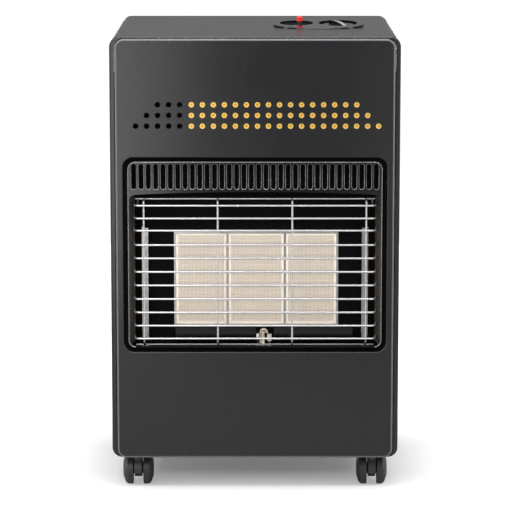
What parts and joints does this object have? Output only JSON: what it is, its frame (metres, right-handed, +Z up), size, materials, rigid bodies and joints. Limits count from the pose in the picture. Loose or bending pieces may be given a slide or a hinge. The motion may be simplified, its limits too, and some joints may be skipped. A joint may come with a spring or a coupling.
{
  "type": "portable gas cabinet heater",
  "caption": "Wheeled steel cabinet heater with ceramic burner plaques behind a wire guard, top controls and a rear bay for a gas cylinder.",
  "frame": {"origin": "on the floor under the middle of the cabinet's footprint", "axes": "+Z up, -Y towards the front with the guard, +X to the right seen from the front"},
  "size_m": [0.44, 0.42, 0.7193],
  "materials": {
    "casing_paint": "textured dark grey powder coat",
    "black_coat": "black heat-proof enamel",
    "gold_insert": "gold-coloured lacquer",
    "zinc_sheet": "zinc-coated sheet",
    "bright_steel": "bright stainless steel",
    "chrome_wire": "bright chrome",
    "plaque_ceramic": "matte cordierite",
    "pressed_steel": "aluminised steel",
    "aluminium_tube": "drawn tube",
    "die_cast": "die-cast",
    "brass": "machined brass",
    "copper": "copper lead",
    "pilot_metal": "heat-stained steel",
    "white_ceramic": "white glazed",
    "lead_sleeve": "silicone sleeve",
    "black_gloss": "glossy black",
    "silver_knob": "silver-grey lacquer",
    "red_button": "glossy red",
    "igniter_black": "black",
    "castor_black": "black nylon",
    "hood_black": "black nylon on a steel stem",
    "axle_steel": "steel pin"
  },
  "bodies": {
    "cabinet": {"cabinet_shell": "casing_paint", "front_panel": "casing_paint", "vent_insert": "gold_insert", "base_plate": "zinc_sheet", "castor_sockets": "castor_black", "louvre_bezel": "black_coat", "left_cheek": "black_coat", "right_cheek": "black_coat", "wire_guard": "chrome_wire", "firebox": "black_coat", "left_reflector": "bright_steel", "right_reflector": "bright_steel", "burner_frame": "bright_steel", "ceramic_plaque_left": "plaque_ceramic", "ceramic_plaque_centre": "plaque_ceramic", "ceramic_plaque_right": "plaque_ceramic", "burner_plenum_left": "pressed_steel", "burner_plenum_centre": "pressed_steel", "burner_plenum_right": "pressed_steel", "lower_baffle": "black_coat", "heat_shield": "zinc_sheet", "injector_bracket": "zinc_sheet", "injectors": "brass", "feed_tube_left": "aluminium_tube", "feed_tube_centre": "aluminium_tube", "feed_tube_right": "aluminium_tube", "pilot_tube": "aluminium_tube", "pilot_bracket": "zinc_sheet", "pilot_burner": "pilot_metal", "spark_electrode": "white_ceramic", "spark_lead": "lead_sleeve", "thermocouple": "copper", "control_panel": "black_gloss", "gas_valve_body": "die_cast", "gas_inlet_nozzle": "brass", "piezo_igniter": "igniter_black", "casing_screws": "zinc_sheet"},
    "rear_cover": {"rear_cover": "casing_paint"},
    "valve_push": {"valve_plunger": "brass"},
    "knob": {"control_knob": "silver_knob", "valve_spindle": "brass"},
    "igniter": {"igniter_button": "red_button", "igniter_plunger": "igniter_black"},
    "front_left_swivel": {"castor_front_left_hood": "hood_black", "castor_front_left_axle": "axle_steel"},
    "front_left_wheel_left": {"castor_front_left_wheel_left": "castor_black"},
    "front_left_wheel_right": {"castor_front_left_wheel_right": "castor_black"},
    "front_right_swivel": {"castor_front_right_hood": "hood_black", "castor_front_right_axle": "axle_steel"},
    "front_right_wheel_left": {"castor_front_right_wheel_left": "castor_black"},
    "front_right_wheel_right": {"castor_front_right_wheel_right": "castor_black"},
    "rear_left_swivel": {"castor_rear_left_hood": "hood_black", "castor_rear_left_axle": "axle_steel"},
    "rear_left_wheel_left": {"castor_rear_left_wheel_left": "castor_black"},
    "rear_left_wheel_right": {"castor_rear_left_wheel_right": "castor_black"},
    "rear_right_swivel": {"castor_rear_right_hood": "hood_black", "castor_rear_right_axle": "axle_steel"},
    "rear_right_wheel_left": {"castor_rear_right_wheel_left": "castor_black"},
    "rear_right_wheel_right": {"castor_rear_right_wheel_right": "castor_black"}
  },
  "joints": [
    {"name": "cover_tilt", "type": "hinge", "parent": "cabinet", "child": "rear_cover", "pos_m": [0, 0.21, 0.0574], "axis": [-1, 0, 0], "range_deg": [0, 70]},
    {"name": "knob_push", "type": "slide", "parent": "cabinet", "child": "valve_push", "axis": [0, -0.0698, 0.9976], "range_m": [-0.0035, 0], "stiffness_N_per_m": 600, "springref_m": 0.004},
    {"name": "knob_turn", "type": "hinge", "parent": "valve_push", "child": "knob", "pos_m": [0.1307, -0.00951, 0.70929], "axis": [0, -0.0698, 0.9976], "range_deg": [0, 180]},
    {"name": "igniter_push", "type": "slide", "parent": "cabinet", "child": "igniter", "axis": [0, -0.0698, 0.9976], "range_m": [-0.0025, 0], "stiffness_N_per_m": 1500, "springref_m": 0.002},
    {"name": "front_left_swivel", "type": "hinge", "parent": "cabinet", "child": "front_left_swivel", "pos_m": [-0.182, -0.168, 0.07], "axis": [0, 0, 1], "continuous": true},
    {"name": "front_left_left_roll", "type": "hinge", "parent": "front_left_swivel", "child": "front_left_wheel_left", "pos_m": [-0.1978, -0.152, 0.025], "axis": [1, 0, 0], "continuous": true},
    {"name": "front_left_right_roll", "type": "hinge", "parent": "front_left_swivel", "child": "front_left_wheel_right", "pos_m": [-0.1662, -0.152, 0.025], "axis": [1, 0, 0], "continuous": true},
    {"name": "front_right_swivel", "type": "hinge", "parent": "cabinet", "child": "front_right_swivel", "pos_m": [0.182, -0.168, 0.07], "axis": [0, 0, 1], "continuous": true},
    {"name": "front_right_left_roll", "type": "hinge", "parent": "front_right_swivel", "child": "front_right_wheel_left", "pos_m": [0.1662, -0.152, 0.025], "axis": [1, 0, 0], "continuous": true},
    {"name": "front_right_right_roll", "type": "hinge", "parent": "front_right_swivel", "child": "front_right_wheel_right", "pos_m": [0.1978, -0.152, 0.025], "axis": [1, 0, 0], "continuous": true},
    {"name": "rear_left_swivel", "type": "hinge", "parent": "cabinet", "child": "rear_left_swivel", "pos_m": [-0.182, 0.165, 0.07], "axis": [0, 0, 1], "continuous": true},
    {"name": "rear_left_left_roll", "type": "hinge", "parent": "rear_left_swivel", "child": "rear_left_wheel_left", "pos_m": [-0.1978, 0.181, 0.025], "axis": [1, 0, 0], "continuous": true},
    {"name": "rear_left_right_roll", "type": "hinge", "parent": "rear_left_swivel", "child": "rear_left_wheel_right", "pos_m": [-0.1662, 0.181, 0.025], "axis": [1, 0, 0], "continuous": true},
    {"name": "rear_right_swivel", "type": "hinge", "parent": "cabinet", "child": "rear_right_swivel", "pos_m": [0.182, 0.165, 0.07], "axis": [0, 0, 1], "continuous": true},
    {"name": "rear_right_left_roll", "type": "hinge", "parent": "rear_right_swivel", "child": "rear_right_wheel_left", "pos_m": [0.1662, 0.181, 0.025], "axis": [1, 0, 0], "continuous": true},
    {"name": "rear_right_right_roll", "type": "hinge", "parent": "rear_right_swivel", "child": "rear_right_wheel_right", "pos_m": [0.1978, 0.181, 0.025], "axis": [1, 0, 0], "continuous": true}
  ]
}
